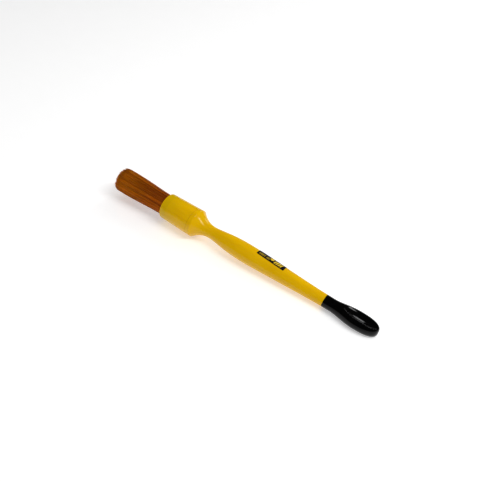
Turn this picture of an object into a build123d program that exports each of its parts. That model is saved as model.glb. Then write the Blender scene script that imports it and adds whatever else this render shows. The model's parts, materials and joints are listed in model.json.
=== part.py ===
"""Round bristle brush with a moulded plastic handle, a push-on ferrule sleeve and a dished end grip.

Everything is laid out along the brush's own axis. A station is a distance along that axis from the
sleeve's mouth: bristles have negative stations, the handle has positive ones. The brush lies on
Z = 0 as it would on a bench, on the ridge of its shoulder and on the flat underside of its end
grip, so the axis slopes down a little towards the grip. X runs from bristles to grip.
"""

from build123d import *

import os
from math import asin, atan2, cos, degrees, hypot, radians, sin

os.makedirs("parts", exist_ok=True)

# ---- Bristle knot -----------------------------------------------------------------------------
knot_radius = 9.2  # where the bristles leave the sleeve
knot_spread_radius = 11.0  # where the bristles stand widest
bristle_length = 52.5  # from the sleeve's mouth to the trimmed tip
spread_reach = 39.0  # from the mouth to the widest place
tip_rounding = 4.5  # how far behind the tip the trimmed edge starts to round over
bend_reach = 3.0  # from the mouth out to the point that the bristles bend about
bend_gap = 0.6  # free length to potted length, so that the knot can bend

# ---- Potting inside the sleeve ----------------------------------------------------------------
knot_gather = 0.3  # how much the hoops draw the bristles in
potted_length = 8.7
resin_floor = 2.5  # resin under the bristles' ends
hoop_wire = 0.6  # diameter of the binding wire
hoop_bite = 0.15  # how far the wire sinks into the gathered bristles
hoop_count = 3
hoop_pitch = 0.8
hoop_setback = 3.4  # from the resin's surface to the first hoop
core_radius = 2.5
core_nose_radius = 1.2
core_nose_length = 2.4
core_recess = 0.4  # from the resin's surface down to the core's nose

# ---- Ferrule sleeve ---------------------------------------------------------------------------
knot_gap = 0.4  # knot to bore
sleeve_wall = 1.5  # at the mouth
sleeve_flare = 0.7  # how much the outer radius grows from mouth to seat
lip_chamfer = 0.4
spigot_length = 10.0
spigot_step = 0.45  # step in the bore that the spigot seats on
spigot_clearance = 0.05
snap_height = 0.25
snap_width = 1.6
snap_setback = 4.0  # from the spigot's front to the middle of the snap rib

# ---- Handle -----------------------------------------------------------------------------------
core_socket_depth = 6.0
head_length = 3.3  # short drum between the sleeve's end and the ridge
head_flare = 0.1
ridge_radius = 0.9
ridge_turn = 44.0  # degrees of arc over the ridge
shoulder_length = 15.6  # ridge to neck
neck_radius = 5.2
waist_length = 33.0  # neck to belly
belly_radius = 7.85
taper_length = 74.0  # belly to seam
seam_radius = 5.1

# ---- Tang inside the end grip -----------------------------------------------------------------
tang_radius = 3.2
tang_peg_length = 13.0
blade_width = 7.0
blade_thickness = 3.0
blade_length = 20.0
key_hole_radius = 1.4
key_hole_count = 2
key_hole_pitch = 8.0

# ---- End grip ---------------------------------------------------------------------------------
collar_waist_radius = 5.02
collar_waist_reach = 6.0  # seam to the collar's narrowest place
paddle_start = 6.6  # seam to where the paddle starts to widen
paddle_rise = 21.4  # length over which it widens
paddle_half_width = 7.9
paddle_bulge = 6.3  # half height before the faces are cut flat
bulge_rise = 14.0
paddle_end_length = 17.5  # widest place to the tip
paddle_half_thickness = 5.05  # at the widest place, after the faces are cut flat
plan_roundness = 2.3  # exponents of the superellipse that ends the paddle, in plan
side_roundness = 4.0  # and from the side
dish_offset = 1.8  # widest place to the middle of the dish
dish_half_length = 14.0
dish_half_width = 4.4
dish_depth = 1.7

# ---- Label ------------------------------------------------------------------------------------
label_reach = 43.6  # neck to the label's front edge
label_length = 25.6
label_width = 9.4
label_film = 0.1
label_roll = 30.0  # degrees round the handle from the top towards +Y

# ---- Stations and radii that follow -----------------------------------------------------------
bore_radius = knot_radius + knot_gap
mouth_radius = bore_radius + sleeve_wall
potted_radius = knot_radius - knot_gather
seat_radius = bore_radius + spigot_step
spigot_radius = seat_radius - spigot_clearance
sleeve_end_radius = mouth_radius + sleeve_flare
shoulder_radius = sleeve_end_radius + head_flare

bend_station = -bend_reach
resin_top = bend_station + knot_radius + bend_gap
potted_end = resin_top + potted_length
spigot_front = potted_end + resin_floor
sleeve_length = spigot_front + spigot_length
ridge_station = sleeve_length + head_length
neck_station = ridge_station + shoulder_length
belly_station = neck_station + waist_length
seam_station = belly_station + taper_length
widest_station = seam_station + paddle_start + paddle_rise
tip_station = widest_station + paddle_end_length
core_front = resin_top + core_recess
snap_station = spigot_front + snap_setback
blade_start = seam_station + tang_peg_length
label_start = neck_station + label_reach

# ---- How the brush lies -----------------------------------------------------------------------
# The floor line touches the ridge's arc and runs through the middle of the paddle's flat face.
ridge_centre_radius = shoulder_radius - ridge_radius
run = widest_station - ridge_station
drop = ridge_centre_radius - paddle_half_thickness
axis_slope = atan2(drop, run) + asin(ridge_radius / hypot(run, drop))
axis_height = widest_station * sin(axis_slope) + paddle_half_thickness * cos(axis_slope)
mouth_offset = (bristle_length - tip_station) / 2 * cos(axis_slope)

along = Vector(cos(axis_slope), 0, -sin(axis_slope))
side_plane = Plane(origin=(mouth_offset, 0, axis_height), x_dir=along, z_dir=(0, -1, 0))
brush_axis = Axis(side_plane.origin, along)


def section_plane(station):
    """Plane across the brush: local x is +Y and local y is up."""
    return Plane(origin=side_plane.from_local_coords((station, 0, 0)), x_dir=(0, 1, 0), z_dir=along)


def plan_plane(height):
    """Plane along the brush at a height over its axis: local x runs with the stations, local y is +Y."""
    return Plane(origin=side_plane.from_local_coords((0, height, 0)), x_dir=along, z_dir=side_plane.y_dir)


# ---- Handle -----------------------------------------------------------------------------------
def handle_curve(lift=0.0):
    """Outline from the ridge over the neck and the belly to the seam, raised by lift."""
    turn = radians(ridge_turn)
    ridge_end = (
        ridge_station + ridge_radius * sin(turn),
        ridge_centre_radius + ridge_radius * cos(turn) + lift,
    )
    neck_side = neck_radius + lift
    belly_side = belly_radius + lift
    cone = Spline(
        ridge_end,
        (neck_station - 0.69 * shoulder_length, neck_side + 0.475 * (shoulder_radius - neck_radius)),
        (neck_station - 0.46 * shoulder_length, neck_side + 0.21 * (shoulder_radius - neck_radius)),
        (neck_station, neck_side),
        (neck_station + 0.21 * waist_length, neck_side + 0.21 * (belly_radius - neck_radius)),
        (neck_station + 0.52 * waist_length, neck_side + 0.70 * (belly_radius - neck_radius)),
        (belly_station, belly_side),
        tangents=[(cos(turn), -sin(turn)), (1, 0)],
    )
    taper = Spline(
        cone @ 1,
        (belly_station + 0.42 * taper_length, belly_side - 0.39 * (belly_radius - seam_radius)),
        (belly_station + 0.75 * taper_length, belly_side - 0.79 * (belly_radius - seam_radius)),
        (seam_station, seam_radius + lift),
        tangents=[(1, 0), (1, -0.015)],
    )
    return cone, taper


with BuildPart() as handle:
    with BuildSketch(side_plane):
        with BuildLine():
            front = Polyline(
                (seam_station, 0),
                (spigot_front, 0),
                (spigot_front, spigot_radius),
                (snap_station - snap_width / 2, spigot_radius),
                (snap_station, spigot_radius + snap_height),
                (snap_station + snap_width / 2, spigot_radius),
                (sleeve_length, spigot_radius),
                (sleeve_length, sleeve_end_radius),
                (ridge_station, shoulder_radius),
            )
            CenterArc((ridge_station, ridge_centre_radius), ridge_radius, 90, -ridge_turn)
            handle_curve()
            Line((seam_station, seam_radius), (seam_station, 0))
        make_face()
    revolve(axis=brush_axis)
    with BuildSketch(section_plane(spigot_front)):
        Circle(core_radius)
    extrude(amount=core_socket_depth, mode=Mode.SUBTRACT)
    with BuildSketch(section_plane(seam_station)):
        Circle(tang_radius)
    extrude(amount=tang_peg_length)
    with BuildSketch(section_plane(blade_start)):
        Rectangle(blade_width, blade_thickness)
    extrude(amount=blade_length)
    with BuildSketch(plan_plane(0)):
        with Locations((blade_start + blade_length / 2, 0)):
            with GridLocations(key_hole_pitch, 0, key_hole_count, 1):
                Circle(key_hole_radius)
    extrude(amount=blade_thickness, both=True, mode=Mode.SUBTRACT)
handle.part.label = "handle"
export_step(handle.part, "parts/handle.step")

# ---- Ferrule sleeve ---------------------------------------------------------------------------
with BuildPart() as ferrule_sleeve:
    groove_height = snap_height + spigot_clearance
    with BuildSketch(side_plane):
        with BuildLine():
            Polyline(
                (0, bore_radius),
                (spigot_front, bore_radius),
                (spigot_front, seat_radius),
                (snap_station - snap_width / 2, seat_radius),
                (snap_station, spigot_radius + groove_height),
                (snap_station + snap_width / 2, seat_radius),
                (sleeve_length, seat_radius),
                (sleeve_length, sleeve_end_radius),
                (lip_chamfer, mouth_radius),
                (0, mouth_radius - lip_chamfer),
                close=True,
            )
        make_face()
    revolve(axis=brush_axis)
ferrule_sleeve.part.label = "ferrule_sleeve"
export_step(ferrule_sleeve.part, "parts/ferrule_sleeve.step")

# ---- Core plug --------------------------------------------------------------------------------
with BuildPart() as core_plug:
    with BuildSketch(side_plane):
        with BuildLine():
            Polyline(
                (core_front, 0),
                (core_front, core_nose_radius),
                (core_front + core_nose_length, core_radius),
                (spigot_front + core_socket_depth, core_radius),
                (spigot_front + core_socket_depth, 0),
                close=True,
            )
        make_face()
    revolve(axis=brush_axis)
core_plug.part.label = "core_plug"
export_step(core_plug.part, "parts/core_plug.step")

# ---- Binding wire -----------------------------------------------------------------------------
with BuildPart() as wire_hoops:
    with BuildSketch(side_plane):
        for turn in range(hoop_count):
            hoop_station = resin_top + hoop_setback + turn * hoop_pitch
            with Locations((hoop_station, potted_radius + hoop_wire / 2 - hoop_bite)):
                Circle(hoop_wire / 2)
    revolve(axis=brush_axis)
wire_hoops.part.label = "wire_hoops"
export_step(wire_hoops.part, "parts/wire_hoops.step")

# ---- Potted ends of the bristles --------------------------------------------------------------
with BuildPart() as knot_root:
    with BuildSketch(section_plane(resin_top)):
        Circle(potted_radius)
    extrude(amount=potted_length)
    add(core_plug.part, mode=Mode.SUBTRACT)
    add(wire_hoops.part, mode=Mode.SUBTRACT)
knot_root.part.label = "knot_root"
export_step(knot_root.part, "parts/knot_root.step")

# ---- Resin ------------------------------------------------------------------------------------
with BuildPart() as resin_plug:
    with BuildSketch(section_plane(resin_top)):
        Circle(bore_radius)
    extrude(amount=spigot_front - resin_top)
    add(knot_root.part, mode=Mode.SUBTRACT)
    add(core_plug.part, mode=Mode.SUBTRACT)
    add(wire_hoops.part, mode=Mode.SUBTRACT)
resin_plug.part.label = "resin_plug"
export_step(resin_plug.part, "parts/resin_plug.step")

# ---- Free bristles ----------------------------------------------------------------------------
# The ball-shaped root turns inside the sleeve's mouth, where the real bristles bend.
with BuildPart() as bristle_knot:
    with BuildSketch(side_plane):
        with BuildLine():
            root = CenterArc((bend_station, 0), knot_radius, 0, 90)
            rounding_station = tip_rounding - bristle_length
            tip = Spline(
                root @ 1,
                (-spread_reach, knot_spread_radius),
                (rounding_station, 0.94 * knot_spread_radius),
                (-bristle_length, 0),
                tangents=[(-1, 0.06), (0, -1)],
            )
            Line(tip @ 1, root @ 0)
        make_face()
    revolve(axis=brush_axis)
bristle_knot.part.label = "bristle_knot"
export_step(bristle_knot.part, "parts/bristle_knot.step")


# ---- End grip ---------------------------------------------------------------------------------
def ease(value):
    """Smooth step from 0 to 1."""
    value = min(max(value, 0.0), 1.0)
    return value * value * (3 - 2 * value)


def rounded_end(station, roundness):
    """Share of full size left at a station past the widest place: a superellipse quarter."""
    past = max(station - widest_station, 0.0) / paddle_end_length
    return (1 - past**roundness) ** (1 / roundness)


def grip_half_size(station):
    """Half width and half height of the grip's oval section, before its faces are cut flat."""
    reach = station - seam_station
    collar = seam_radius + (collar_waist_radius - seam_radius) * ease(reach / collar_waist_reach)
    wide = collar + (paddle_half_width - collar) * ease((reach - paddle_start) / paddle_rise)
    high = collar + (paddle_bulge - collar) * ease((reach - paddle_start) / bulge_rise)
    return wide * rounded_end(station, plan_roundness), high * rounded_end(station, side_roundness)


def face_plane(side):
    """Plane along the brush, seen from the side, lying on the paddle's upper (1) or lower (-1) face.

    The two faces close towards the tip by as much as the axis slopes, so the lower one is level.
    """
    slope = side * axis_slope
    face_point = side_plane.from_local_coords((widest_station, side * paddle_half_thickness, 0))
    face_direction = along.rotate(Axis.Y, degrees(slope))
    return Plane(origin=face_point, x_dir=face_direction, z_dir=(0, -side, 0))


grip_stations = [
    seam_station,
    seam_station + collar_waist_reach,
    *[widest_station - paddle_rise * (1 - share) for share in (0.2, 0.45, 0.7)],
    *[widest_station + paddle_end_length * share for share in (0.0, 0.35, 0.6, 0.8, 0.92, 0.98)],
]

grip_sections = []
for station in grip_stations:
    wide, high = grip_half_size(station)
    with BuildSketch(section_plane(station)) as oval:
        Ellipse(wide, high)
    grip_sections.append(oval.sketch)
grip_tip = Vertex(*side_plane.from_local_coords((tip_station, 0, 0)))

with BuildPart() as end_grip:
    loft(sections=[*grip_sections, grip_tip])
    for side in (1, -1):
        with BuildSketch(face_plane(side)):
            with Locations((0, paddle_bulge / 2)):
                Rectangle(4 * paddle_end_length, paddle_bulge)
        extrude(amount=2 * paddle_half_width, both=True, mode=Mode.SUBTRACT)
    # The thumb dish: an arc swung round a line over the upper face leaves a leaf-shaped hollow.
    swing_radius = (dish_half_width**2 + dish_depth**2) / (2 * dish_depth)
    swing_height = swing_radius - dish_depth
    with BuildSketch(face_plane(1)):
        with BuildLine():
            dish_start = (dish_offset - dish_half_length, 0)
            dish_end = (dish_offset + dish_half_length, 0)
            ThreePointArc(dish_start, (dish_offset, -dish_depth), dish_end)
            Polyline(
                dish_end,
                (dish_end[0], swing_height),
                (dish_start[0], swing_height),
                dish_start,
            )
        make_face()
    swing_point = face_plane(1).from_local_coords((0, swing_height, 0))
    revolve(axis=Axis(swing_point, face_plane(1).x_dir), mode=Mode.SUBTRACT)
    add(handle.part, mode=Mode.SUBTRACT)
end_grip.part.label = "end_grip"
export_step(end_grip.part, "parts/end_grip.step")

# ---- Label ------------------------------------------------------------------------------------
with BuildPart() as label:
    with BuildSketch(side_plane):
        with BuildLine():
            cone, taper = handle_curve(label_film)
            Polyline(
                taper @ 1,
                (seam_station, 0),
                ((cone @ 0).X, 0),
                cone @ 0,
            )
        make_face()
    revolve(axis=brush_axis)
    add(handle.part, mode=Mode.SUBTRACT)
    with BuildSketch(Plane(side_plane.origin, along, side_plane.y_dir.rotate(brush_axis, -label_roll))):
        with Locations((label_start + label_length / 2, 0)):
            Rectangle(label_length, label_width)
    extrude(amount=2 * belly_radius, mode=Mode.INTERSECT)
label.part.label = "label"
export_step(label.part, "parts/label.step")

# ---- Places that a record of this brush needs ---------------------------------------------------
rest_point = face_plane(-1).origin
bend_point = side_plane.from_local_coords((bend_station, 0, 0))
print("axis slope", round(degrees(axis_slope), 3), "degrees; mouth at", tuple(side_plane.origin))
print("bend point", tuple(bend_point), "about", tuple(side_plane.y_dir))
print("resting face at", tuple(rest_point))
print("stations: sleeve", round(sleeve_length, 2), "neck", neck_station, "belly", belly_station)
print("seam", seam_station, "widest", widest_station, "tip", tip_station)
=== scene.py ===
# %% [markdown]
# # A round bristle brush
#
# The brush lies on a pale floor: an orange-brown knot of plastic filaments, a yellow sleeve that
# holds the knot, a waisted yellow handle with a printed label, and a black grip moulded over the
# handle's end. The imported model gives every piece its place. The cells below give each piece that
# can be seen a finer surface and a finish, and leave the pieces inside the sleeve as they are
# packed, with a finish of their own.

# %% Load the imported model
import json
import math

import bpy
import numpy as np
from mathutils import Matrix, Quaternion, Vector


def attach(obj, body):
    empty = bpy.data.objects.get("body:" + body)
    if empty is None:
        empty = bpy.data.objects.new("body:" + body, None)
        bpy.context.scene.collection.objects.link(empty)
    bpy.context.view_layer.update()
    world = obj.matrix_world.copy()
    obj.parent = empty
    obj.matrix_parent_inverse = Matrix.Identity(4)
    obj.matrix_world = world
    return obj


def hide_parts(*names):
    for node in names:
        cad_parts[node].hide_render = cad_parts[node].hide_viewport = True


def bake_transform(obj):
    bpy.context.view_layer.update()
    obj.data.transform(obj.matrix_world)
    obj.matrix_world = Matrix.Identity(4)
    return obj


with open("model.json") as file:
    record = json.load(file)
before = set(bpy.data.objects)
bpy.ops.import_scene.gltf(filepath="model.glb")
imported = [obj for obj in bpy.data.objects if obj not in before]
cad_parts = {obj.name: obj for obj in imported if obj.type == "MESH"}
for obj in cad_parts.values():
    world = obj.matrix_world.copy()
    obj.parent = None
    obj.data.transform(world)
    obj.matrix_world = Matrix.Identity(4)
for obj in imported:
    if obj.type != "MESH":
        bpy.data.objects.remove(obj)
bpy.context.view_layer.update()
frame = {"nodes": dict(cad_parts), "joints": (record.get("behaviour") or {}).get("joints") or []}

# %% [markdown]
# ## The brush's own axis
#
# The brush rests on the ridge of its shoulder and on the flat underside of its grip, so its axis
# slopes down a little. Every shape on it is round or nearly round, which makes it easiest to think
# in stations: millimetres along the axis from the sleeve's mouth, negative in the bristles and
# positive in the handle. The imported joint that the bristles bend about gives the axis: its pivot
# lies on it, 3 mm outside the mouth, and its own axis stands square to it.

# %% Stations, and a place for each
flex = frame["joints"][0]
bend_station = -3.0
lift = np.array(flex["axis"])
along = np.array([lift[2], 0.0, -lift[0]])
sideways = np.array([0.0, 1.0, 0.0])
mouth = np.array(flex["pos_m"]) - bend_station / 1000 * along
slope = math.atan2(lift[0], lift[2])


def place(station, across, height):
    """mouth + station * along + across * sideways + height * lift, taking mm and giving metres."""
    station, across, height = np.broadcast_arrays(station, across, height)
    offset = station[..., None] * along + across[..., None] * sideways + height[..., None] * lift
    return mouth + offset / 1000


def around(station, radius, angle):
    """A point at a radius from the axis. Angle 0 is the top, and a quarter turn is towards +Y."""
    return place(station, radius * np.sin(angle), radius * np.cos(angle))


print("mouth of the sleeve in mm:", np.round(mouth * 1000, 2), "slope", round(math.degrees(slope), 2))

# %% [markdown]
# ## Surfaces from grids
#
# A turned shape is a profile carried round the axis, and a moulded one is the same with a radius
# that also depends on the angle. Both are grids of points: rows along the brush, columns round it.
# One helper turns a grid into a closed mesh, so every piece is made in the same way, and its faces
# point outwards when the rows run from the bristles to the grip.


# %% A closed mesh from a grid
def make_piece(name, points, faces):
    """A smooth-shaded object from points and the corner numbers of its faces."""
    mesh = bpy.data.meshes.new(name)
    mesh.from_pydata(points.reshape(-1, 3), [], faces)
    mesh.shade_smooth()
    piece = bpy.data.objects.new(name, mesh)
    bpy.context.scene.collection.objects.link(piece)
    return piece


def wrap(name, grid, first=None, last=None):
    """Four-sided faces join each row to the next, and the last column to the first.

    first and last are single points that close the two end rows with fans. Without them the last
    row joins the first, as on a ring.
    """
    rows, columns = grid.shape[:2]
    number = np.arange(rows * columns).reshape(rows, columns)
    if first is None:
        number = np.vstack([number, number[:1]])
    a, b = number[:-1], number[1:]
    quads = np.stack([a, b, np.roll(b, -1, 1), np.roll(a, -1, 1)], -1).reshape(-1, 4)
    faces, points = quads.tolist(), grid.reshape(-1, 3)
    if first is not None:
        poles = len(points), len(points) + 1
        points = np.vstack([points, first, last])
        start, end = number[0], number[-1]
        start_fan = np.stack([np.full(columns, poles[0]), start, np.roll(start, -1)], -1)
        end_fan = np.stack([end, np.full(columns, poles[1]), np.roll(end, -1)], -1)
        faces += start_fan.tolist() + end_fan.tolist()
    piece = make_piece(name, points, faces)
    print(name, "has", sum(len(f) - 2 for f in faces), "triangles")
    return piece


# %% Profiles with rounded corners
def rounded(corners, radius, step=0.5):
    """Replaces each sharp corner of a line of (station, radius) points by an arc that touches both
    of its runs, and then splits the runs so that no step is longer than the one asked for."""
    corners = np.array(corners, float)
    line = [corners[0]]
    for before, here, after in zip(corners, corners[1:], corners[2:]):
        into, out = here - before, after - here
        into_length, out_length = np.linalg.norm(into), np.linalg.norm(out)
        into, out = into / into_length, out / out_length
        turn = math.acos(np.clip(into @ out, -1, 1))
        if turn < math.radians(14):
            line.append(here)
            continue
        reach = min(radius * math.tan(turn / 2), 0.45 * into_length, 0.45 * out_length)
        start, end = here - reach * into, here + reach * out
        share = np.linspace(0, 1, 7)[:, None]
        line.extend((1 - share) ** 2 * start + 2 * share * (1 - share) * here + share**2 * end)
    line.append(corners[-1])
    line = np.array(line)
    lengths = np.linalg.norm(np.diff(line, axis=0), axis=1)
    pieces = np.maximum(1, np.ceil(lengths / step).astype(int))
    whole = np.repeat(np.arange(len(pieces)), pieces)
    part = np.concatenate([np.arange(n) / n for n in pieces])
    split = line[whole] + part[:, None] * (line[whole + 1] - line[whole])
    return np.vstack([split, line[-1:]])


def smooth_line(stations, knot_stations, knot_radii):
    """A cubic between each two knots, whose slope at a knot is the mean of the two chords there,
    weighted towards the nearer one."""
    x, y = np.array(knot_stations, float), np.array(knot_radii, float)
    gap, chord = np.diff(x), np.diff(y) / np.diff(x)
    slopes = np.empty(len(x))
    slopes[1:-1] = (chord[:-1] * gap[1:] + chord[1:] * gap[:-1]) / (gap[:-1] + gap[1:])
    slopes[0], slopes[-1] = 1.5 * chord[0] - 0.5 * slopes[1], 1.5 * chord[-1] - 0.5 * slopes[-2]
    cell = np.clip(np.searchsorted(x, stations) - 1, 0, len(gap) - 1)
    t = (stations - x[cell]) / gap[cell]
    low, high = slopes[cell] * gap[cell], slopes[cell + 1] * gap[cell]
    rise = y[cell + 1] - y[cell]
    return y[cell] + t * low + t**2 * (3 * rise - 2 * low - high) + t**3 * (low + high - 2 * rise)


# %% [markdown]
# ## Finishes: small tools
#
# Each finish is a Principled shader with a few nodes before it. Patterns are laid out in the
# brush's own millimetres: a Mapping node undoes the brush's place and slope, so a band at the
# sleeve's mouth or a streak along a filament is written with the same stations as the shapes.


# %% Nodes in one line each
def add_node(tree, kind, inputs=None, **options):
    """Adds a node. An input is given a number or a colour, or is joined to another node's output."""
    made = tree.nodes.new("ShaderNode" + kind)
    for name, value in options.items():
        setattr(made, name, value)
    for key, value in (inputs or {}).items():
        if isinstance(value, bpy.types.NodeSocket):
            tree.links.new(value, made.inputs[key])
        else:
            made.inputs[key].default_value = value
    return made


def new_finish(name):
    """An empty finish: its node tree and its Principled shader."""
    finish = bpy.data.materials.new(name)
    finish.use_nodes = True
    tree = finish.node_tree
    return finish, tree, tree.nodes["Principled BSDF"]


def brush_space(tree):
    """Object coordinates turned into mm on the brush: X station, Y sideways, Z height over the axis."""
    source = add_node(tree, "TexCoord").outputs["Object"]
    placed = add_node(tree, "Mapping", {"Vector": source}, vector_type="TEXTURE")
    placed.inputs["Location"].default_value = mouth
    placed.inputs["Rotation"].default_value = (0, slope, 0)
    placed.inputs["Scale"].default_value = (0.001, 0.001, 0.001)
    return placed.outputs["Vector"]


def noise(tree, vector, scale, detail=2.0, roughness=0.5):
    """Cloudy noise with so many patches to a millimetre, from 0 to 1."""
    made = add_node(tree, "TexNoise", {"Vector": vector, "Scale": scale, "Detail": detail})
    made.inputs["Roughness"].default_value = roughness
    return made.outputs["Fac"]


def between(tree, value, low, high, to_low=0.0, to_high=1.0):
    """Carries a value from one range to another with soft ends."""
    limits = {"Value": value, "From Min": low, "From Max": high, "To Min": to_low, "To Max": to_high}
    made = add_node(tree, "MapRange", limits, interpolation_type="SMOOTHSTEP")
    return made.outputs["Result"]


def blend_colours(tree, share, first, second, mode="MIX"):
    """Mixes two colours by a share, where 0 gives the first."""
    made = add_node(tree, "Mix", data_type="RGBA", blend_type=mode)
    for socket, value in zip([made.inputs[0], made.inputs[6], made.inputs[7]], [share, first, second]):
        if isinstance(value, bpy.types.NodeSocket):
            tree.links.new(value, socket)
        else:
            socket.default_value = value
    return made.outputs[2]


def calculate(tree, operation, *values):
    """One Math node."""
    return add_node(tree, "Math", dict(enumerate(values)), operation=operation).outputs[0]


def raise_surface(tree, shader, height, strength, depth):
    """Bump: a height from 0 to 1 stands for a depth given in mm."""
    values = {"Height": height, "Strength": strength, "Distance": depth / 1000}
    made = add_node(tree, "Bump", values)
    tree.links.new(made.outputs["Normal"], shader.inputs["Normal"])


# %% [markdown]
# ## The yellow plastic
#
# Handle and sleeve are injection-moulded in the same coloured plastic. Such plastic is never one
# flat colour: pigment drifts a little as the melt flows, the surface has a fine orange peel, and
# gloss varies with handling. Light also enters it for a millimetre or two, which lifts the shaded
# side. The sleeve's first 6 mm has no handle or resin behind it, only dark bristles, so it is
# painted darker and greener as shade. Its lip gets a painted highlight, and the crevice where
# sleeve meets handle gets painted shade.


# %% Colour of the moulded plastic
def yellow_plastic(name, mouth_band):
    """Pigment drift along the flow, an orange-peel bump and painted shade in the crevice where sleeve meets
    handle.
    The sleeve also gets its greener band of painted shade, a painted highlight on its lip and its two witness
    lines."""
    finish, tree, shader = new_finish(name)
    space = brush_space(tree)
    stretched = add_node(tree, "Mapping", {"Vector": space, "Scale": (0.05, 0.22, 0.22)}).outputs[0]
    drift = noise(tree, stretched, 1.0, 3.0)
    colour = blend_colours(tree, between(tree, drift, 0.3, 0.7), plastic_deep, plastic_light)
    place_mm = add_node(tree, "SeparateXYZ", {"Vector": space})
    station = place_mm.outputs["X"]
    # Painted shade: a darker ring where sleeve meets handle stands in for the shade in the crevice between
    # them.
    from_joint = calculate(tree, "ABSOLUTE", calculate(tree, "SUBTRACT", station, sleeve_end))
    colour = blend_colours(tree, between(tree, from_joint, 0.1, 0.5, 0.24, 0.0), colour, witness_line_and_joint_shade)
    if mouth_band:
        # Painted shade: the wall is painted darker and greener near the mouth, strongest in the first 6 mm
        # where only dark bristles lie behind it, and fading out along the resin.
        mouth_shade_fade = between(tree, station, 5.0, 22.0, 0.55, 0.0)
        colour = blend_colours(tree, mouth_shade_fade, colour, plastic_mouth_shade)
        mouth_shade_band = between(tree, station, 5.6, 6.4, 0.8, 0.0)
        colour = blend_colours(tree, mouth_shade_band, colour, plastic_mouth_shade)
        # Painted highlight: the lip of the mouth is painted brighter.
        lip_highlight = between(tree, station, 0.5, 1.3, 0.9, 0.0)
        colour = blend_colours(tree, lip_highlight, colour, plastic_light)
        side = (place_mm.outputs["Y"], place_mm.outputs["Z"])
        off_line = [calculate(tree, "MULTIPLY", value, part) for value, part in
                    zip(side, (math.cos(witness_angle), -math.sin(witness_angle)))]
        from_line = calculate(tree, "ABSOLUTE", calculate(tree, "ADD", *off_line))
        witness = between(tree, from_line, 0.1, 0.42, 0.2, 0.0)
        colour = blend_colours(tree, witness, colour, witness_line_and_joint_shade)
    tree.links.new(colour, shader.inputs["Base Color"])
    handled = noise(tree, space, 0.35, 4.0, 0.6)
    tree.links.new(between(tree, handled, 0.3, 0.75, 0.12, 0.19), shader.inputs["Roughness"])
    raise_surface(tree, shader, noise(tree, space, 1.6, 2.0), 0.05, 0.04)
    shader.inputs["Subsurface Weight"].default_value = 0.12
    shader.inputs["Subsurface Radius"].default_value = (1.0, 0.6, 0.1)
    shader.inputs["Subsurface Scale"].default_value = 0.0015
    shader.inputs["IOR"].default_value = 1.49
    shader.inputs["Specular IOR Level"].default_value = 0.30
    shader.inputs["Specular Tint"].default_value = (1.0, 0.95, 0.8, 1)
    return finish


plastic_light = (0.82, 0.475, 0.0, 1)
plastic_deep = (0.765, 0.43, 0.0, 1)
# The mouth colour is painted shade, for the thin wall with dark bristles behind it.
plastic_mouth_shade = (0.64, 0.40, 0.0, 1)
# The dark line colour serves both the real witness lines and the painted shade at the joint.
witness_line_and_joint_shade = (0.44, 0.20, 0.0, 1)
sleeve_end, witness_angle = 28.0, math.radians(-57)
handle_finish = yellow_plastic("handle_plastic_finish", mouth_band=False)
sleeve_finish = yellow_plastic("sleeve_plastic_finish", mouth_band=True)
print("yellow plastic finishes made")

# %% [markdown]
# ## The handle
#
# A single moulding: a spigot with a snap rib that the sleeve pushes over, a short drum, the
# shoulder's hollow cone, a thin neck, a swelling belly for the fingers, and a long taper. A lathe
# shape says it best. The spigot and the tang under the grip are square-shouldered, so their
# corners get small arcs, and the long outline is one smooth curve through a few knots.

# %% Outline of the handle
seam = 153.9
ridge_station, ridge_centre, ridge_round = 31.3, 11.0, 0.9
outline_knots = np.array([
    (31.93, 11.65), (33.6, 10.17), (36.1, 8.38), (39.7, 6.60), (43.2, 5.56), (46.9, 5.20), (50.3, 5.36),
    (53.8, 5.76), (57.2, 6.22), (64.1, 7.05), (71.0, 7.60), (79.9, 7.85), (90.0, 7.66), (100.9, 7.22),
    (111.0, 6.77), (120.1, 6.35), (129.5, 5.92), (138.8, 5.54), (148.0, 5.23), (seam, 5.10),
])


def handle_radius(station):
    """Radius of the handle from the shoulder's ridge to the seam."""
    return smooth_line(station, outline_knots[:, 0], outline_knots[:, 1])


ridge_turn = np.radians(np.linspace(0, 44, 8)[:-1])
ridge = np.stack([ridge_station + ridge_round * np.sin(ridge_turn),
                  ridge_centre + ridge_round * np.cos(ridge_turn)], -1)
long_stations = np.linspace(outline_knots[0, 0], seam, 250)
long_outline = np.stack([long_stations, handle_radius(long_stations)], -1)
front = rounded([(24, 0.3), (24, 2.5), (18, 2.5), (18, 10), (21.2, 10), (22, 10.25), (22.8, 10),
                 (28.0, 10), (28.0, 11.79), (28.5, 11.80), (31.0, 11.89)], 0.25)
back = rounded([(seam - 0.2, 5.10), (seam, 5.10), (seam, 3.2), (seam + 13, 3.2), (seam + 13, 0.3)], 0.12)
handle_profile = np.vstack([front, ridge, long_outline[:-1], back])
print("handle outline has", len(handle_profile), "points")

# %% Turn the handle
turn = np.linspace(0, 2 * math.pi, 112, endpoint=False)
handle_grid = around(handle_profile[:, :1], handle_profile[:, 1:], turn[None, :])
ends = [place(np.array(s), 0.0, 0.0) for s in (24.0, seam + 13)]
moulded_handle = wrap("moulded_handle", handle_grid, *ends)
moulded_handle.data.materials.append(handle_finish)
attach(moulded_handle, "handle")
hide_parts("handle")

# %% [markdown]
# ## The sleeve
#
# A thin tube with a slight flare, open at the mouth. Its mould opened along two opposite lines,
# and a hair-thin witness line is left along each. A tube is a closed profile carried round, so it
# needs no end points. The witness line is a narrow bump added to the outer radius, and columns
# are packed closely where it runs.

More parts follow.
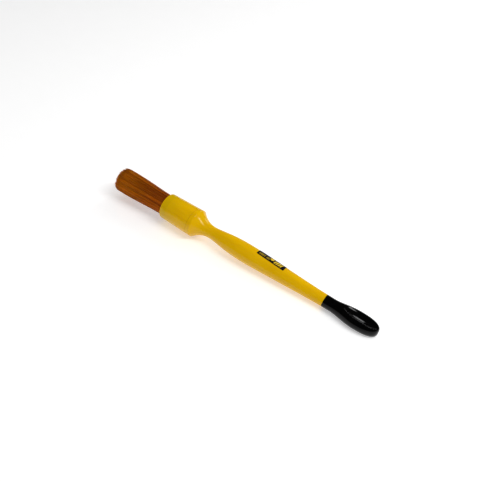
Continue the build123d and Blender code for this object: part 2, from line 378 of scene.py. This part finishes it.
# %% Wall of the sleeve
sleeve_corners = [
    (14.0, 9.6), (0.0, 9.6), (0.0, 10.7), (0.4, 11.11), (28.0, 11.8), (28.0, 10.05), (23.0, 10.05),
    (22.2, 10.30), (21.4, 10.05), (18.0, 10.05), (18.0, 9.6), (14.0, 9.6),
]
sleeve_profile = rounded(sleeve_corners, 0.32)[:-1]
line_width, line_height = 0.16, 0.05
close_by = np.linspace(-0.045, 0.045, 13)
sleeve_turn = np.unique(np.round(np.concatenate([
    np.linspace(-math.pi, math.pi, 120, endpoint=False),
    witness_angle + close_by, witness_angle + math.pi + close_by]), 6))
station, wall = sleeve_profile[:, :1], sleeve_profile[:, 1:]
outside = np.clip((wall - 10.8) / 0.2, 0, 1)
wave = np.exp(-((np.sin(sleeve_turn - witness_angle) * wall / line_width) ** 2))
sleeve_grid = around(station, wall + line_height * outside * wave, sleeve_turn[None, :])
moulded_sleeve = wrap("moulded_sleeve", sleeve_grid)
moulded_sleeve.data.materials.append(sleeve_finish)
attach(moulded_sleeve, "handle")
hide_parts("ferrule_sleeve")

# %% [markdown]
# ## The end grip
#
# A black moulding that starts round, flush with the handle, and swells into a flat paddle with a
# dish for the thumb. Three surfaces meet in it: an oval tube, two sloping flats, and the barrel
# shape that hollows the dish. Seen from the axis, the moulding's skin is wherever the first of the
# three is met, so its radius is the least of theirs. A soft minimum does the same and rounds each
# edge a little, as polishing does.

# %% Sizes of the grip
paddle_start, paddle_rise, bulge_rise, paddle_end = 6.6, 21.4, 14.0, 17.5
widest = seam + paddle_start + paddle_rise
grip_tip = widest + paddle_end
half_width, half_bulge, half_thickness = 7.9, 6.3, 5.05
dish_middle, dish_half_length, dish_half_width, dish_depth = widest + 1.8, 14.2, 4.55, 1.75


def ease(value):
    """Smooth step: 3v² - 2v³ between 0 and 1."""
    value = np.clip(value, 0, 1)
    return value * value * (3 - 2 * value)


def oval_radius(station, angle):
    """Radius of an oval whose half width and half height follow the collar and the paddle, and
    close at the tip as superellipses."""
    reach = station - seam
    collar = 5.10 - 0.08 * ease(reach / 6)
    past = np.clip((station - widest) / paddle_end, 0, 1)
    wide = (collar + (half_width - collar) * ease((reach - paddle_start) / paddle_rise))
    high = (collar + (half_bulge - collar) * ease((reach - paddle_start) / bulge_rise))
    wide = wide * (1 - past**2.3) ** (1 / 2.3)
    high = high * (1 - past**4) ** (1 / 4)
    return 1 / np.sqrt((np.sin(angle) / wide) ** 2 + (np.cos(angle) / high) ** 2)


def flat_radius(station, angle):
    """Distance to a flat that closes towards the tip by the brush's own slope."""
    face_height = half_thickness + (widest - station) * math.tan(slope)
    return face_height / np.maximum(np.abs(np.cos(angle)), 1e-3)


def dish_radius(station, angle):
    """Distance to the barrel over the upper flat: a circle at each station, fattest in the middle."""
    swing = (dish_half_width**2 + dish_depth**2) / (2 * dish_depth)
    centre = half_thickness + (widest - station) * math.tan(slope) + swing - dish_depth
    share = 1 - ((station - dish_middle) / dish_half_length) ** 2
    barrel = np.maximum(swing - dish_depth + dish_depth * share, 0.1)
    inside = barrel**2 - (centre * np.sin(angle)) ** 2
    met = centre * np.cos(angle) - np.sqrt(np.maximum(inside, 0))
    missed = (inside <= 0) | (np.cos(angle) <= 0)
    return np.where(missed, 99.0, met)


def soft_least(surfaces, softness):
    """-softness * log(sum of exp(-value / softness)): the least value, with its edges rounded."""
    values = np.stack(surfaces)
    least = values.min(0)
    return least - softness * np.log(np.exp(-(values - least) / softness).sum(0))


# %% Shape the grip
rise_rows = np.linspace(seam + 0.12, widest, 130)
end_share = np.linspace(1, 0, 72)[1:]
end_rows = widest + paddle_end * (1 - end_share**2.6) ** (1 / 2.6)
grip_rows = np.concatenate([rise_rows, end_rows[:-1]])[:, None]
top = np.concatenate([np.linspace(-1.15, 1.15, 150, endpoint=False),
                      np.linspace(1.15, 2 * math.pi - 1.15, 90, endpoint=False)])[None, :]
skin_radius = soft_least([oval_radius(grip_rows, top), flat_radius(grip_rows, top),
                          dish_radius(grip_rows, top)], 0.05)
grip_grid = around(grip_rows, skin_radius, top)
inner = rounded([(seam + 13, 0.3), (seam + 13, 3.2), (seam, 3.2), (seam, 5.0)], 0.05)
inner_grid = around(inner[:, :1], inner[:, 1:], top)
grip_ends = [place(np.array(s), 0.0, 0.0) for s in (seam + 13, grip_tip)]
end_grip = wrap("moulded_grip", np.concatenate([inner_grid, grip_grid]), *grip_ends)
print("grip is", round(skin_radius.max() * 2, 1), "mm across at its widest")

# %% [markdown]
# ### Black grip finish
#
# A glossy black plastic. What shows on it is only what it mirrors, so the finish is mostly about
# the way the gloss breaks up: a faint waviness from the mould and a few soft smears of handling.

# %% Finish of the grip
grip_finish, tree, shader = new_finish("grip_finish")
space = brush_space(tree)
smears = noise(tree, space, 0.5, 5.0, 0.65)
grip_dark, grip_light = (0.0012, 0.0012, 0.0011, 1), (0.0022, 0.0021, 0.0020, 1)
shade = blend_colours(tree, between(tree, smears, 0.35, 0.7), grip_dark, grip_light)
tree.links.new(shade, shader.inputs["Base Color"])
tree.links.new(between(tree, smears, 0.3, 0.75, 0.07, 0.14), shader.inputs["Roughness"])
raise_surface(tree, shader, noise(tree, space, 0.6, 2.0), 0.05, 0.04)
shader.inputs["IOR"].default_value = 1.46
shader.inputs["Specular IOR Level"].default_value = 0.20
end_grip.data.materials.append(grip_finish)
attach(end_grip, "handle")
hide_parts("end_grip")

# %% [markdown]
# ## The label
#
# A strip of black film bonded round the belly, 30 degrees from the top towards +Y. The film follows
# the handle's radius, so its surface is the handle's outline raised by a tenth of a millimetre. Its
# corners are rounded in plan. Its print is generic: a dim row of small slanted blocks, a plain disc
# and a row of larger blocks.

# %% Shape of the label
label_start, label_length, label_width, label_roll, film = 90.5, 25.6, 9.4, math.radians(30), 0.1
corner = 0.7
end_steps = corner * (1 - np.cos(np.linspace(0, math.pi / 2, 8)))
label_rows = np.concatenate([end_steps, np.linspace(corner, label_length - corner, 46)[1:-1],
                             label_length - end_steps[::-1]])
from_end = np.minimum(np.minimum(label_rows, label_length - label_rows), corner)
half = label_width / 2 - corner + np.sqrt(np.maximum(corner**2 - (corner - from_end) ** 2, 1e-4))
share = np.linspace(-1, 1, 41)
chord = half[:, None] * share[None, :]
label_stations = label_start + label_rows
under = handle_radius(label_stations)[:, None] * np.ones_like(chord)
roll = label_roll + np.arcsin(chord / under)
film_top = around(label_stations[:, None], under + film, roll)
film_under = around(label_stations[:, None], under + 0.01, roll)[:, ::-1]
label_grid = np.concatenate([film_top, film_under], 1)
number = np.arange(label_grid[..., 0].size).reshape(label_grid.shape[:2])
a, b = number[:-1], number[1:]
sides = np.stack([a, b, np.roll(b, -1, 1), np.roll(a, -1, 1)], -1).reshape(-1, 4).tolist()
columns = len(share)
top_first, under_first = number[0, :columns], number[0, columns:][::-1]
top_last, under_last = number[-1, :columns], number[-1, columns:][::-1]
caps = np.stack([top_first[:-1], top_first[1:], under_first[1:], under_first[:-1]], -1).tolist()
caps += np.stack([top_last[1:], top_last[:-1], under_last[:-1], under_last[1:]], -1).tolist()
printed_label = make_piece("printed_label", label_grid, sides + caps)
print("label has", 2 * len(sides + caps), "triangles")

# %% Where each point of the label is on its flat sheet
flat = np.stack([np.broadcast_to(label_rows[:, None], chord.shape), chord + label_width / 2], -1)
flat = np.concatenate([flat, flat[:, ::-1]], 1).reshape(-1, 2)
sheet_map = printed_label.data.uv_layers.new(name="sheet")
corner_numbers = np.empty(len(printed_label.data.loops), np.int32)
printed_label.data.loops.foreach_get("vertex_index", corner_numbers)
sheet_map.data.foreach_set("uv", flat[corner_numbers].ravel().astype(np.float32))


# %% Print of the label
def in_range(tree, value, low, high):
    """1 where the value lies between two limits, else 0."""
    return calculate(tree, "MULTIPLY", calculate(tree, "GREATER_THAN", value, low),
                     calculate(tree, "LESS_THAN", value, high))


def block_row(tree, run, rise, low, high, pitch, slant, first, last):
    """A row of slanted blocks of uneven width. Each cell of the row draws its width from a number
    that only depends on the cell, and every sixth cell is left out, as between words."""
    leaning = calculate(tree, "SUBTRACT", run, calculate(tree, "MULTIPLY", rise, slant))
    cells = calculate(tree, "DIVIDE", leaning, pitch)
    cell = calculate(tree, "FLOOR", cells)
    width = add_node(tree, "TexWhiteNoise", {"W": cell}, noise_dimensions="1D").outputs["Value"]
    filled = calculate(tree, "LESS_THAN", calculate(tree, "FRACT", cells),
                       calculate(tree, "MULTIPLY_ADD", width, 0.22, 0.52))
    word = calculate(tree, "GREATER_THAN", calculate(tree, "MODULO", cell, 6.0), 0.5)
    inside = calculate(tree, "MULTIPLY", in_range(tree, rise, low, high), in_range(tree, run, first, last))
    return calculate(tree, "MULTIPLY", calculate(tree, "MULTIPLY", filled, word), inside)


label_finish, tree, shader = new_finish("label_finish")
sheet = add_node(tree, "SeparateXYZ", {"Vector": add_node(tree, "UVMap", uv_map="sheet").outputs["UV"]})
run, rise = sheet.outputs["X"], sheet.outputs["Y"]
small = block_row(tree, run, rise, 0.9, 3.0, 1.15, 0.30, 1.2, 11.4)
disc_shape = calculate(tree, "ADD", calculate(tree, "POWER", calculate(tree, "SUBTRACT", run, 13.2), 2.0),
                       calculate(tree, "POWER", calculate(tree, "SUBTRACT", rise, 3.4), 2.0))
emblem = calculate(tree, "LESS_THAN", disc_shape, 1.7**2)
large = block_row(tree, run, rise, 0.8, 4.4, 1.9, 0.30, 15.6, 24.6)
print_share = calculate(tree, "MAXIMUM", calculate(tree, "MULTIPLY", small, 0.5),
                        calculate(tree, "MAXIMUM", emblem, large))
space = brush_space(tree)
rubbed = between(tree, noise(tree, space, 3.0, 4.0, 0.7), 0.30, 0.55)
ink = calculate(tree, "MULTIPLY", print_share, rubbed)
shade = blend_colours(tree, ink, (0.0060, 0.0045, 0.0040, 1), (0.92, 0.60, 0.02, 1))
tree.links.new(shade, shader.inputs["Base Color"])
tree.links.new(between(tree, noise(tree, space, 1.2, 3.0), 0.3, 0.7, 0.34, 0.46), shader.inputs["Roughness"])
raise_surface(tree, shader, ink, 0.25, 0.02)
shader.inputs["Specular IOR Level"].default_value = 0.14
printed_label.data.materials.append(label_finish)
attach(printed_label, "handle")
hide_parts("label")

# %% [markdown]
# ## The bristles
#
# Some 2600 round filaments stand in the sleeve, spread a little towards the tip and are trimmed to
# a low dome. Hair tools would draw curves, which don't export, so each filament is a thin
# five-sided tube. The roots lie on a sunflower spiral, which fills a disc evenly. Static and use
# make neighbours lean together, so each filament is drawn towards the nearest of a few dozen
# gathering points as it nears the tip. That opens the dark gaps that run along the knot.

# %% Where each filament stands
dice = np.random.default_rng(11)
filament_count, ring_count, side_count = 2600, 12, 5
golden_turn = math.pi * (3 - math.sqrt(5))


def sunflower(count):
    """Evenly spread points in a circle of radius 1: radius sqrt(n / count), angle n golden turns."""
    n = np.arange(count)
    radius, angle = np.sqrt((n + 0.5) / count), n * golden_turn
    return np.stack([radius * np.sin(angle), radius * np.cos(angle)], -1)


disc = sunflower(filament_count)
gather_count, lock_count = 300, 44
gathers = sunflower(gather_count) * 0.985 + dice.normal(0, 0.016, (gather_count, 2))
locks = sunflower(lock_count) * 0.95 + dice.normal(0, 0.05, (lock_count, 2))
nearest = np.linalg.norm(disc[:, None] - gathers[None], axis=-1).argmin(1)
lean = 0.78 * (gathers[nearest] - disc)
lean += 0.16 * (locks[np.linalg.norm(disc[:, None] - locks[None], axis=-1).argmin(1)] - disc)
from_middle = np.linalg.norm(disc, axis=1)
tip_station = -(52.1 - 1.3 * from_middle**2 - 2.4 * from_middle**10)
tip_station = tip_station + np.clip(dice.normal(0, 0.35, filament_count), -0.8, 0.8)
print(filament_count, "filaments, gathered at", len(gathers), "points")


# %% Lines of the filaments
def knot_radius(station):
    """Radius of the whole knot: 9 mm in the sleeve, spreading smoothly to 10.8 mm at 42 mm out."""
    return 9.0 + 1.85 * ease(-station / 42)


share = np.linspace(0, 1, ring_count)[None, :]
stations = tip_station[:, None] * (1 - share) + 6.4 * share
out = np.clip(-stations / 52, 0, 1)[..., None]
centre = disc[:, None, :] + lean[:, None, :] * out**0.9
centre = centre + dice.normal(0, 0.022, (filament_count, 1, 2)) * out**1.5
phase = dice.uniform(0, 2 * math.pi, (filament_count, 1, 2))
centre = centre + 0.010 * out * np.sin(7 * out + phase)
centre = centre * knot_radius(stations)[..., None]
thickness = 0.165 * (1 - 0.38 * np.clip((stations - tip_station[:, None]) / -3 + 1, 0, 1))

# %% Tubes along the lines
ring = 2 * math.pi * np.arange(side_count) / side_count
across = centre[..., 0][..., None] + thickness[..., None] * np.sin(ring)
height = centre[..., 1][..., None] + thickness[..., None] * np.cos(ring)
tubes = place(stations[..., None], across, height)


def bundle(name, chosen, tint):
    """One mesh of many tubes. Every tube has the same pattern of faces, so the corner numbers of the
    first are added to each tube's own first number."""
    points = tubes[chosen]
    own = np.arange(ring_count * side_count).reshape(ring_count, side_count)
    a, b = own[:-1], own[1:]
    walls = np.stack([a, b, np.roll(b, -1, 1), np.roll(a, -1, 1)], -1).reshape(-1, 4)
    starts = np.arange(len(points))[:, None, None] * own.size
    faces = (walls[None] + starts).reshape(-1, 4).tolist()
    faces += (own[0][None, None] + starts).reshape(-1, side_count).tolist()
    faces += (own[-1][::-1][None, None] + starts).reshape(-1, side_count).tolist()
    piece = make_piece(name, points, faces)
    for label, values in (("tint", np.repeat(tint[chosen], own.size)),
                          ("reach", np.repeat(out[chosen, :, 0].ravel(), side_count))):
        layer = piece.data.attributes.new(label, "FLOAT", "POINT")
        layer.data.foreach_set("value", values.astype(np.float32))
    print(name, "has", len(points), "filaments,", sum(len(f) - 2 for f in faces), "triangles")
    return piece


own_tints, shared_tints = dice.normal(0, 0.14, filament_count), dice.normal(0, 0.26, gather_count)
tint = np.clip(0.5 + own_tints + shared_tints[nearest], 0, 1)
in_core = from_middle < 0.71
bundles = [bundle("bristles_core", in_core, tint), bundle("bristles_outer", ~in_core, tint)]

# %% [markdown]
# ### Filament finish
#
# The filaments are drawn plastic, clear orange-brown with light passing through them, glossier
# along their length than across it. Each has its own tint. The trimmed tips are paler, partly as
# cut ends are and partly as painted light that lifts the ends facing away from the lamps. The
# stretch near the sleeve is painted darker as shade, because less light reaches it.

# %% Finish of the filaments
bristle_finish, tree, shader = new_finish("bristle_finish")
own_tint = add_node(tree, "Attribute", attribute_name="tint").outputs["Fac"]
reach = add_node(tree, "Attribute", attribute_name="reach").outputs["Fac"]
space = brush_space(tree)
streaks = add_node(tree, "Mapping", {"Vector": space, "Scale": (0.12, 2.0, 2.0)}).outputs[0]
body = blend_colours(tree, own_tint, (0.19, 0.032, 0.0, 1), (0.66, 0.160, 0.0, 1))
# Painted shade: darker towards the sleeve, where less light reaches the filaments.
body = blend_colours(tree, between(tree, reach, 0.15, 0.95, 0.0, 0.40), body, (0.80, 0.25, 0.0, 1))
dark_streaks = between(tree, noise(tree, streaks, 1.0, 2.0), 0.35, 0.7, 0.0, 0.40)
body = blend_colours(tree, dark_streaks, body, (0.16, 0.026, 0.0, 1))
# Paler tips: partly the cut ends' own colour, partly painted light lifting the ends that face away from the
# lamps.
body = blend_colours(tree, between(tree, reach, 0.93, 1.0, 0.0, 0.75), body, (0.86, 0.29, 0.006, 1))
tree.links.new(body, shader.inputs["Base Color"])
tree.links.new(between(tree, noise(tree, streaks, 2.0, 2.0), 0.3, 0.7, 0.32, 0.5), shader.inputs["Roughness"])
shader.inputs["Subsurface Weight"].default_value = 0.3
shader.inputs["Subsurface Radius"].default_value = (1.0, 0.45, 0.05)
shader.inputs["Subsurface Scale"].default_value = 0.0006
shader.inputs["Specular IOR Level"].default_value = 0.12
for piece in bundles:
    piece.data.materials.append(bristle_finish)
    place(np.array(4.0), 0, 0)
    place(np.array(-56.0), 0, 0)
    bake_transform(piece)
    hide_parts("bristle_knot")

# %% [markdown]
# ## Inside the sleeve
#
# The potted ends of the filaments, the resin, the binding wire and the centre peg are hidden, but
# the part can be opened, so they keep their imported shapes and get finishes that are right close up.


# %% Finishes of the hidden pieces
def plain_finish(name, first, second, scale, roughness, metallic=0.0, stretch=(1, 1, 1), depth=0.03):
    """Two shades mixed by noise, with a matching bump."""
    finish, tree, shader = new_finish(name)
    space = add_node(tree, "Mapping", {"Vector": brush_space(tree), "Scale": stretch}).outputs[0]
    cloud = noise(tree, space, scale, 4.0, 0.6)
    shade = blend_colours(tree, between(tree, cloud, 0.3, 0.7), first, second)
    tree.links.new(shade, shader.inputs["Base Color"])
    dullness = between(tree, cloud, 0.3, 0.7, roughness - 0.06, roughness + 0.08)
    tree.links.new(dullness, shader.inputs["Roughness"])
    shader.inputs["Metallic"].default_value = metallic
    raise_surface(tree, shader, cloud, 0.3, depth)
    return finish


hidden = {
    "core_plug": plain_finish("core_finish", (0.56, 0.53, 0.46, 1), (0.64, 0.61, 0.54, 1), 0.6, 0.45),
    "wire_hoops": plain_finish("wire_finish", (0.40, 0.40, 0.39, 1), (0.55, 0.55, 0.53, 1), 3.0, 0.28, 1.0),
    "resin_plug": plain_finish("resin_finish", (0.30, 0.15, 0.03, 1), (0.42, 0.23, 0.05, 1), 0.4, 0.18),
    "knot_root": plain_finish("knot_root_finish", (0.14, 0.024, 0.001, 1), (0.42, 0.10, 0.003, 1), 3.0, 0.42,
                              stretch=(0.1, 1, 1), depth=0.12),
}
for name, finish in hidden.items():
    mesh = frame["nodes"][name].data
    mesh.materials.clear()
    mesh.materials.append(finish)
print("hidden pieces finished:", ", ".join(hidden))

# %% [markdown]
# ## Floor, light and camera
#
# The floor is a light table: opal plastic lit from below, so it prints as white and the shadows on
# it are faint. It also lights the brush's underside. The surround is even and white. Three panels
# hang in it: a narrow key strip that draws the streak of light on the shoulder, a wide one behind
# that fills, and a small one behind that draws the line of light in the thumb dish. The surround and
# the wide panel are kept out of mirrored light, or they would wash out the far edge.

# %% Floor
half_floor = 3.0
floor_points = np.array([(-1, -1, 0), (1, -1, 0), (1, 1, 0), (-1, 1, 0)], float) * half_floor
studio_floor = make_piece("studio_floor", floor_points, [[0, 1, 2, 3]])
floor_finish, tree, shader = new_finish("floor_finish")
source = add_node(tree, "TexCoord").outputs["Object"]
grain = noise(tree, source, 60.0, 3.0)
shade = blend_colours(tree, grain, (0.90, 0.90, 0.90, 1), (0.93, 0.93, 0.93, 1))
tree.links.new(shade, shader.inputs["Base Color"])
tree.links.new(between(tree, grain, 0.3, 0.7, 0.22, 0.30), shader.inputs["Roughness"])
shader.inputs["Specular IOR Level"].default_value = 0.5
shader.inputs["Emission Color"].default_value = (1, 1, 1, 1)
shader.inputs["Emission Strength"].default_value = 0.34
studio_floor.data.materials.append(floor_finish)

# %% Light
world = bpy.data.worlds.new("studio")
world.use_nodes = True
world.node_tree.nodes["Background"].inputs["Color"].default_value = (1, 1, 1, 1)
world.node_tree.nodes["Background"].inputs["Strength"].default_value = 0.47
world.cycles_visibility.glossy = False
bpy.context.scene.world = world


def panel(name, position, target, width, depth, power, spin=0.0):
    """A rectangular soft light at a position, facing a target, in metres and watts. Its width is
    level unless it's spun about its own middle."""
    lamp = bpy.data.lights.new(name, "AREA")
    lamp.shape, lamp.size, lamp.size_y, lamp.energy = "RECTANGLE", width, depth, power
    made = bpy.data.objects.new(name, lamp)
    made.location = position
    direction = np.array(position) - np.array(target)
    facing = Vector(direction).to_track_quat("Z", "Y") @ Quaternion((0, 0, 1), spin)
    made.rotation_euler = facing.to_euler()
    bpy.context.scene.collection.objects.link(made)
    return made


panel("key_panel", (0.44, 0.04, 0.78), (0, 0, 0), 0.10, 0.60, 3.4, spin=math.radians(45))
back_panel = panel("back_panel", (0.1, 0.90, 0.65), (0, 0, 0), 1.2, 0.5, 1.6)
back_panel.visible_glossy = False
panel("rim_panel", (0.06, 1.05, 0.55), (0.1, 0, 0), 0.16, 0.50, 1.3)

# %% Camera
bpy.context.scene.view_settings.view_transform = "Standard"
aim = np.array([-0.00299, 0.00756, 0.011])
distance = 0.4975
azimuth, elevation, roll = (math.radians(degrees) for degrees in (30.8, 41.9, 7.24))
level_back = np.array([math.sin(azimuth), -math.cos(azimuth), 0.0])
back = math.cos(elevation) * level_back + math.sin(elevation) * np.array([0.0, 0.0, 1.0])
level_right = np.array([math.cos(azimuth), math.sin(azimuth), 0.0])
level_up = np.cross(back, level_right)
right = math.cos(roll) * level_right + math.sin(roll) * level_up
up = np.cross(back, right)
lens = bpy.data.cameras.new("camera")
lens.sensor_width, lens.lens = 36, 46.3
lens.clip_start, lens.clip_end = 0.01, 20
camera = bpy.data.objects.new("camera", lens)
turned = Matrix(np.stack([right, up, back], 1).tolist()).to_4x4()
turned.translation = (aim + back * distance).tolist()
camera.matrix_world = turned
bpy.context.scene.collection.objects.link(camera)
bpy.context.scene.camera = camera
print("camera stands", round(distance * 1000), "mm from the brush")
